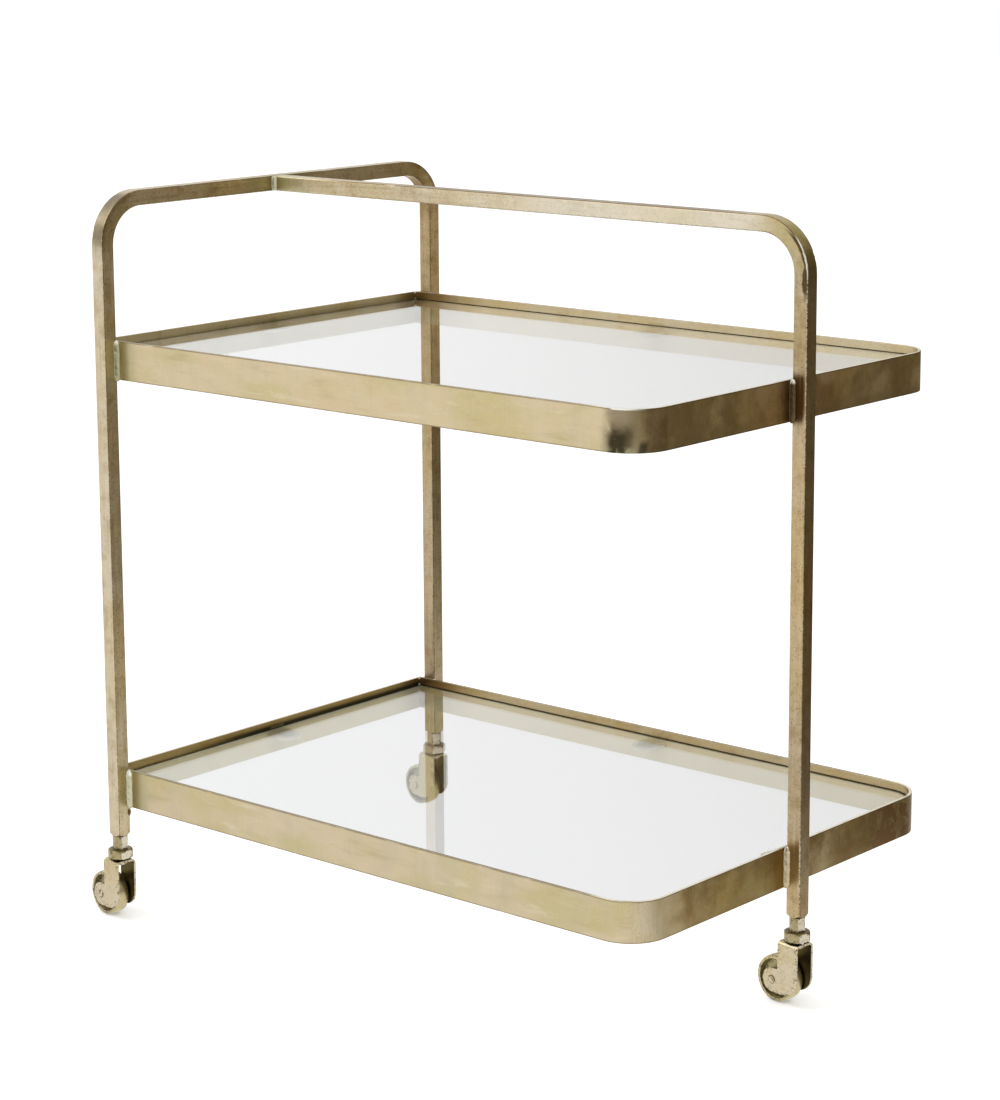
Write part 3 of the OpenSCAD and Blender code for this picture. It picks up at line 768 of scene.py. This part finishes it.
def casterBrass(look, caster, word, corner=None):
    material, net, place = newMaterial(word + "_brass_tumbled")
    paint, _, blotch, grain = agedBrass(net, look, place, caster)
    paint.film(1.0, caster[word])
    if word == "stem":
        # Darker on top as painted shade, and a painted highlight on one side
        paint.film(net.smooth(net.facing()[2], 0.2, 0.7), caster["stemTopShade"])
        paintedHighlight = net.smooth(net.dot(net.normal(), caster["highlightSide"]), 0.86, 0.97)
        paint.lay(paintedHighlight * 0.75, look["edge"])
    if corner == "back":
        paint.film(1.0, caster["behind"])
    covered = net.hollows(0.020)
    if corner:
        axle = aboutAxle(net, place, corner, math.radians(caster["turn"]))
    if word == "wheel":
        # The tread is worn clean
        covered *= net.fall(axle.outward, 0.4, 0.8)
    if word == "lobe":
        # The arms' inner faces are painted almost black as shade, and a ring of painted shade circles the
        # axle's head
        paint.lay(net.smooth(-(axle.along * axle.facing), 0.004, 0.008) * 0.92, caster["inner"])
        axleShadeRing = net.band(axle.radius, axle.head - 0.0002, axle.head + 0.0004, 0.0006)
        paint.lay(axleShadeRing * net.smooth(blotch, 0.35, 0.5) * 0.8, look["brown"])
    # Olive tarnish and painted shade gather in the hollows, and painted shade blackens the tightest corners.
    # The edges are rubbed bright, and pitted with black
    paint.lay(covered * 0.95, caster["tarnishAndShade"])
    paint.lay(net.hollows(0.0045) * 0.85, look["black"])
    paint.lay(net.edges(0.0008) * net.smooth(grain, 0.30, 0.55) * 0.45, look["edge"])
    pitted = net.smooth(net.noise(place, 340.0, 2.0, 0.6), 0.54, 0.58)
    pits = pitted * (0.10 + net.smooth(net.edges(0.0060), 0.0, 0.3) * 0.90)
    paint.lay(pits * caster["pits"], look["black"])
    height = blotch * 0.5 + grain * 0.4 - pits * 0.8
    finishMetal(net, paint.tone, 0.26 + blotch * 0.18, net.bump(0.3, 0.0004, height, 0.0006))
    return material


weldLook = {
    "hoop": (0.42, 0.41, 0.25),
    "hoopLow": (0.62, 0.61, 0.42),
    "handle": (0.56, 0.475, 0.31),
    "upperHandle": (0.125, 0.082, 0.040),
    "joint": (0.62, 0.61, 0.44),
    "fleck": (0.95, 0.93, 0.80),
}


def weldBrass(look, weld):
    # Ground beads: greenish on the hoop, beige and brown on the handle's leg, pale where handle and hoop join
    material, net, place = newMaterial("weld_brass")
    x, _, z = net.split(place)
    patch = net.noise(place, 160.0, 4.0, 0.6)
    streak = net.stretched(place, (900, 900, 60))
    onLeg = net.smooth(x, 0.0, 0.1)
    upper = net.smooth(z, lowerHigh.z + 0.1, upperLow.z - 0.1)
    paint = Paint(net, net.colour(upper, weld["hoopLow"], weld["hoop"]))
    paint.lay(onLeg, net.colour(upper, weld["handle"], weld["upperHandle"]))
    paint.lay(net.fall(z, lowerLow.z + 0.004, lowerLow.z + 0.022) * onLeg * 0.7, look["warm"])
    paint.lay(net.smooth(z, barZ - 0.02, barZ - 0.01), weld["joint"])
    paint.lay(net.smooth(streak, 0.50, 0.70) * 0.25, look["olive"])
    paint.lay(net.fall(streak, 0.28, 0.44) * 0.18, look["edge"])
    paint.lay(net.smooth(patch, 0.56, 0.72) * 0.10, look["brown"])
    # Bright flecks at the beads' upper ends, and a dark drip below one of them
    crown = net.band(z, upperHigh.z - 0.002, upperHigh.z + 0.004, 0.003)
    crown += net.band(z, lowerHigh.z - 0.004, lowerHigh.z + 0.004, 0.004)
    paint.lay(crown * net.smooth(patch, 0.42, 0.50), weld["fleck"])
    paint.lay(net.fall(z, lowerLow.z - 0.003, lowerLow.z - 0.001) * (1 - onLeg), look["brown"])
    finishMetal(net, paint.tone, 0.30 + patch * 0.2, net.bump(0.3, 0.0005, patch + streak * 0.6))
    return material


# The edge colour is painted shade
glassLook = {"tint": (0.850, 0.862, 0.857), "edge": (0.014, 0.016, 0.008), "index": 1.5, "smear": 0.03}


def clearGlass(look):
    material, net, place = newMaterial("pane_glass")
    smear = net.noise(place, 6.0, 4.0, 0.6, 0.5)
    inputs = {
        "Base Color": (*look["tint"], 1),
        "Transmission Weight": 1.0,
        "IOR": look["index"],
        "Roughness": net.smooth(smear, 0.45, 0.9) * look["smear"],
    }
    pane = net.surface(inputs)
    # The edges are painted dull and almost black, as shade in the gap beside the rim
    inputs = {"Base Color": (*look["edge"], 1), "Roughness": 0.6, "Specular IOR Level": 0.2}
    shadedEdge = net.surface(inputs)
    side = net.fall(abs(net.facing()[2]), 0.4, 0.6)
    finishMaterial(net, net.node("ShaderNodeMixShader", inputs={0: side, 1: pane, 2: shadedEdge}))
    return material


padLook = {"clear": (0.96, 0.97, 0.93), "cloudy": (0.92, 0.93, 0.88), "index": 1.002, "drawnIn": 0.00004}


def clearPad(look):
    material, net, place = newMaterial("clear_pad")
    cloud = net.noise(place, 300.0, 2.0)
    inputs = {
        "Base Color": net.colour(net.smooth(cloud, 0.3, 0.7), look["clear"], look["cloudy"]),
        "Roughness": 0.10,
        "Transmission Weight": 1.0,
        "IOR": look["index"],
    }
    finishMaterial(net, net.surface(inputs))
    return material


ballLook = {
    "shadedBrown": (0.060, 0.048, 0.024),
    "dark": (0.022, 0.018, 0.009),
    "bright": (0.85, 0.84, 0.80),
    "highlightAt": -22.5,
}


def ballSteel(look):
    # The balls are painted dark brown as shade, all but one by the handle's fork, painted bright as a
    # highlight the given number of degrees round its race
    material, net, place = newMaterial("ball_steel")
    cloud = net.noise(place, 900.0, 2.0)
    low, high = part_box("handle_balls")
    middle = (low + high) / 2
    ball = (high.z - low.z) / 2
    race = (high.x - low.x) / 2 - ball
    turn = math.radians(look["highlightAt"])
    highlightCentre = (middle.x + race * math.cos(turn), middle.y + race * math.sin(turn), middle.z)
    paint = Paint(net, net.colour(net.smooth(cloud, 0.4, 0.7), look["shadedBrown"], look["dark"]))
    paint.lay(net.fall(net.vector("DISTANCE", place, highlightCentre, "Value"), ball, ball + 0.0002), look["bright"])
    inputs = {"Base Color": paint.tone, "Metallic": 1.0, "Roughness": 0.12 + cloud * 0.1}
    finishMaterial(net, net.surface(inputs))
    return material


corners = ("front", "back", "handle")
tubes = tubeBrass(brassLook, tubeLook)
rims = {word: rimBrass(brassLook, rimLook, tray, word) for word, tray in trayLook.items()}
tabs = tabBrass(tabLook)
stemMetal = casterBrass(brassLook, casterLook, "stem")
forkMetal = {corner: casterBrass(brassLook, casterLook, "lobe", corner) for corner in corners}
wheelMetal = {corner: casterBrass(brassLook, casterLook, "wheel", corner) for corner in corners}
welds = weldBrass(brassLook, weldLook)
glass = clearGlass(glassLook)
pads = clearPad(padLook)
steel = ballSteel(ballLook)

# By the last word of a piece's name, or else by the first, which is a caster's or a tray's
alike = {"glass": glass, "pads": pads, "balls": steel, "tabs": tabs, "hoop": tubes, "leg": tubes}
for name, node in nodes.items():
    first, *_, last = name.split("_")
    if last in alike:
        chosen = alike[last]
    elif last == "wheel":
        chosen = wheelMetal[first]
    elif last in ("fork", "axle"):
        chosen = forkMetal[first]
    else:
        chosen = rims.get(first, stemMetal)
    node.data.materials.clear()
    node.data.materials.append(chosen)
    if chosen is glass:
        # The pane lets the studio's light through to the floor
        node.visible_shadow = False
        node.visible_diffuse = False
    if chosen is pads:
        # Drawn in by a hair, so that no two faces lie in one plane
        drawnIn = node.modifiers.new("drawn_in", "DISPLACE")
        drawnIn.strength = -padLook["drawnIn"]
        drawnIn.mid_level = 0.0
print("materials assigned")

# Weld beads: sizes in metres, and ridges, ripples and lumps as shares of the size
beadLook = {
    "size": 0.0048,
    "root": 0.0016,
    "hollow": 0.72,
    "taper": 7.0,
    "ridge": 0.03,
    "ripplePitch": 0.0034,
    "ripple": 0.008,
    "lump": 0.07,
    "rows": 90,
    "round": 48,
    "over": 0.0006,
    "under": 0.0018,
    "handleSize": 0.0044,
    "lumpRows": 24,
}
# The tacks that hold an end bar and a drip of weld metal, in metres: how far the tacks lie in along X and Y,
# how far two of them lie below the upper edge and one above the lower, and the reach of each along X, Y, Z
tackLook = {
    "inset": (0.0018, 0.0040),
    "high": {0.0012: (0.0022, 0.0024, 0.0015), 0.0082: (0.0022, 0.0024, 0.0018)},
    "low": 0.0040,
    "lowReach": (0.0020, 0.0026, 0.0036),
    "drip": (0.0012, 0.0050),
    "dripReach": (0.0016, 0.0019, 0.0040),
}


def wobble(t, seed):
    # A smooth random curve: five sines of rising rate with seeded strengths and phases
    chance = np.random.default_rng(seed)
    rate = np.arange(1, 6)
    strength = chance.uniform(0.4, 1.0, 5) / rate ** 0.6
    phase = chance.uniform(0, 2 * np.pi, 5)
    return (strength * np.sin(2 * np.pi * t[..., None] * rate * 1.3 + phase)).sum(-1) / 2


def closedGrid(rings):
    # Joins rings of points (rows, round, 3) into one closed skin, with a pole at each end
    rows, around = rings.shape[:2]
    points = np.concatenate([rings.reshape(-1, 3), rings[:1].mean(1), rings[-1:].mean(1)])
    i, j = np.meshgrid(np.arange(rows - 1), np.arange(around), indexing="ij")
    here, beside = i * around + j, i * around + (j + 1) % around
    quads = np.stack([here, beside, beside + around, here + around], -1).reshape(-1, 4)
    j = np.arange(around)
    after = (j + 1) % around
    last = (rows - 1) * around
    foot = np.stack([np.full(around, rows * around), after, j], -1)
    head = np.stack([np.full(around, rows * around + 1), last + j, last + after], -1)
    return points, quads, np.concatenate([foot, head])


def cornerBead(look, size, corner, bottom, top, side, seed):
    # An upright rod about the corner. Outward, its reach at angle a is size / (|cos a|^h + |sin a|^h)^(1/h),
    # a hollow fillet, plus two ridges as |sin 4a|, ripples along its height and a slow wobble. Inside the
    # metal, past a smooth step in cos(a - 45 degrees), it is only a thin root. Both ends taper as
    # (1 - |2t - 1|^p)^(1/2), p being the taper
    t = np.linspace(0, 1, look["rows"])[:, None]
    a = np.linspace(0, 2 * np.pi, look["round"], endpoint=False)[None, :]
    height = top - bottom
    bow = look["hollow"]
    reach = (abs(np.cos(a)) ** bow + abs(np.sin(a)) ** bow) ** (-1 / bow)
    reach = reach + look["ridge"] * abs(np.sin(4 * a)) * (1 + 0.4 * wobble(t, seed))
    reach = reach + look["ripple"] * np.sin(2 * np.pi * t * height / look["ripplePitch"] + 2 * np.sin(a))
    reach = reach + look["lump"] * wobble(t + 0.1 * np.cos(a), seed + 1)
    step = np.clip((np.cos(a - np.pi / 4) - 0.50) / 0.20, 0, 1)
    outward = step * step * (3 - 2 * step)
    ends = np.clip(1 - abs(2 * t - 1) ** look["taper"], 0, 1) ** 0.5
    reach = (look["root"] + (size * reach - look["root"]) * outward) * ends
    x = corner[0] + side[0] * reach * np.cos(a)
    y = corner[1] + side[1] * reach * np.sin(a)
    z = np.broadcast_to(bottom + height * t, x.shape)
    rings = np.stack([x, y, z], -1)
    return closedGrid(rings if side[0] * side[1] > 0 else rings[:, ::-1])


def lump(look, centre, reach, seed):
    # A ball stretched to three reaches, whose radius wobbles with both angles
    t = np.linspace(0, np.pi, look["lumpRows"])[:, None]
    a = np.linspace(0, 2 * np.pi, look["round"], endpoint=False)[None, :]
    bumps = wobble(t / np.pi + 0.15 * np.cos(a), seed) + wobble(0.2 * np.sin(a) + t / 9, seed + 1)
    radius = 1 + look["lump"] * bumps
    x = centre[0] + reach[0] * radius * np.sin(t) * np.cos(a)
    y = centre[1] + reach[1] * radius * np.sin(t) * np.sin(a)
    z = centre[2] - reach[2] * radius * np.cos(t)
    return closedGrid(np.stack([x, y, z], -1))


def skinObject(name, skins, material):
    # Puts several closed skins into one smooth mesh
    points, faces, start = [], [], 0
    for skin, quads, ends in skins:
        points.append(skin)
        faces += (quads + start).tolist() + (ends + start).tolist()
        start += len(skin)
    mesh = bpy.data.meshes.new(name)
    mesh.from_pydata(np.concatenate(points).tolist(), [], faces)
    mesh.shade_smooth()
    mesh.materials.append(material)
    mesh.update()
    return newObject(name, mesh)


def trayWelds(look, tack, word, low, high, seed):
    # Beads at both sides of each leg, tacks that hold the end bar, and a drip below the lower tray
    bottom, top = low.z - look["under"], high.z + look["over"]
    size = look["size"]
    skins = []
    for k, edge in enumerate((-1, 1)):
        wall = high.y * edge
        for m, side in enumerate((-1, 1)):
            corner = (frontX + side * tubeHalf, wall)
            skins.append(cornerBead(look, size, corner, bottom, top, (side, edge), seed + 10 * k + 5 * m))
        corner = (high.x, edge * tubeHalf)
        skins.append(cornerBead(look, size, corner, bottom, top, (1, edge), seed + 40 + 5 * k))
        barEnd = (low.x + tack["inset"][0], wall - edge * tack["inset"][1])
        for m, (drop, reach) in enumerate(tack["high"].items()):
            skins.append(lump(look, (*barEnd, high.z - drop), reach, seed + 60 + 4 * m + k))
        skins.append(lump(look, (*barEnd, low.z + tack["low"]), tack["lowReach"], seed + 72 + k))
    if word == "lower":
        drip = (hoopHigh.x, low.y - tack["drip"][0], low.z - tack["drip"][1])
        skins.append(lump(look, drip, tack["dripReach"], seed + 80))
    piece = skinObject(word + "_weld_beads", skins, welds)
    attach(piece, "frame")
    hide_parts(word + "_tray_welds")


def handleWelds(look, seed):
    # Upright beads on both sides of the handle where it meets the hoop
    skins = []
    for k, edge in enumerate((-1, 1)):
        corner = (hoopHigh.x, edge * tubeHalf)
        bottom, top = barZ - tubeHalf + 0.0004, barZ + tubeHalf - 0.0002
        skins.append(cornerBead(look, look["handleSize"], corner, bottom, top, (1, edge), seed + 7 * k))
    piece = skinObject("handle_weld_beads", skins, welds)
    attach(piece, "frame")
    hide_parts("handle_weld")


trayWelds(beadLook, tackLook, "upper", upperLow, upperHigh, 100)
trayWelds(beadLook, tackLook, "lower", lowerLow, lowerHigh, 300)
handleWelds(beadLook, 500)
print("weld beads laid")

stageLook = {
    "half": 14.0,
    "floor": (0.93, 0.93, 0.93),
    "lift": 0.30,
    "mirrored": (1.0, 1.0, 1.0),
    "far": (0.17, 0.14, 0.095),
    "toward": (0.80, 0.60),
    "from": 0.42,
    "to": 0.95,
}


def paleFloor(look):
    # Plain to the camera; what the metal mirrors of it darkens toward +X +Y, away from the lamps
    half = look["half"]
    mesh = bpy.data.meshes.new("floor")
    places = [(-half, -half, 0), (half, -half, 0), (half, half, 0), (-half, half, 0)]
    mesh.from_pydata(places, [], [(0, 1, 2, 3)])
    floor = newObject("floor", mesh)
    material, net, place = newMaterial("floor_paper")
    away = net.dot(place, (*look["toward"], 0))
    tone = net.colour(net.smooth(away, look["from"], look["to"]), look["mirrored"], look["far"])
    mirrored = net.node("ShaderNodeEmission", inputs={"Color": tone})
    inputs = {
        "Base Color": (*look["floor"], 1),
        "Roughness": 0.9,
        "Specular IOR Level": 0.0,
        "Emission Color": (1, 1, 1, 1),
        "Emission Strength": look["lift"],
    }
    plain = net.surface(inputs)
    glossy = net.node("ShaderNodeLightPath", output="Is Glossy Ray")
    finishMaterial(net, net.node("ShaderNodeMixShader", inputs={0: glossy, 1: plain, 2: mirrored}))
    material.cycles.emission_sampling = "NONE"
    mesh.materials.append(material)


worldLook = {
    "bright": (1.0, 1.0, 1.0),
    "dim": (0.20, 0.165, 0.115),
    "dimToward": (0.80, 0.60),
    "dimFrom": -0.20,
    "dimTo": 0.40,
    "roofFrom": 0.20,
    "roofTo": 0.75,
}


def studioWorld(look):
    # White all round, falling to a dim warm side toward +X +Y, low down, which the end faces mirror
    world = bpy.data.worlds.new("studio")
    bpy.context.scene.world = world
    world.use_nodes = True
    net = Net(world.node_tree)
    x, y, z = net.split(net.node("ShaderNodeTexCoord", output="Generated"))
    side = x * look["dimToward"][0] + y * look["dimToward"][1]
    dim = net.smooth(side, look["dimFrom"], look["dimTo"]) * net.fall(z, look["roofFrom"], look["roofTo"])
    tone = net.colour(dim, look["bright"], look["dim"])
    plain = net.node("ShaderNodeBackground", inputs={"Color": (1, 1, 1, 1)})
    shaped = net.node("ShaderNodeBackground", inputs={"Color": tone})
    seen = net.node("ShaderNodeLightPath", output="Is Camera Ray")
    mixed = net.node("ShaderNodeMixShader", inputs={0: seen, 1: shaped, 2: plain})
    net.node("ShaderNodeOutputWorld", inputs={"Surface": mixed})


keyLook = {"place": (-1.6, -1.8, 2.8), "aim": (0, 0, 0.4), "side": 1.8, "power": 30}


def keyLight(look):
    data = bpy.data.lights.new("key_light", "AREA")
    data.size = look["side"]
    data.energy = look["power"]
    lamp = newObject("key_light", data)
    lamp.location = look["place"]
    aim = Vector(look["aim"]) - Vector(look["place"])
    lamp.rotation_euler = aim.to_track_quat("-Z", "Y").to_euler()


paleFloor(stageLook)
studioWorld(worldLook)
keyLight(keyLook)
bpy.context.scene.view_settings.view_transform = "Standard"
print("stage and light set")
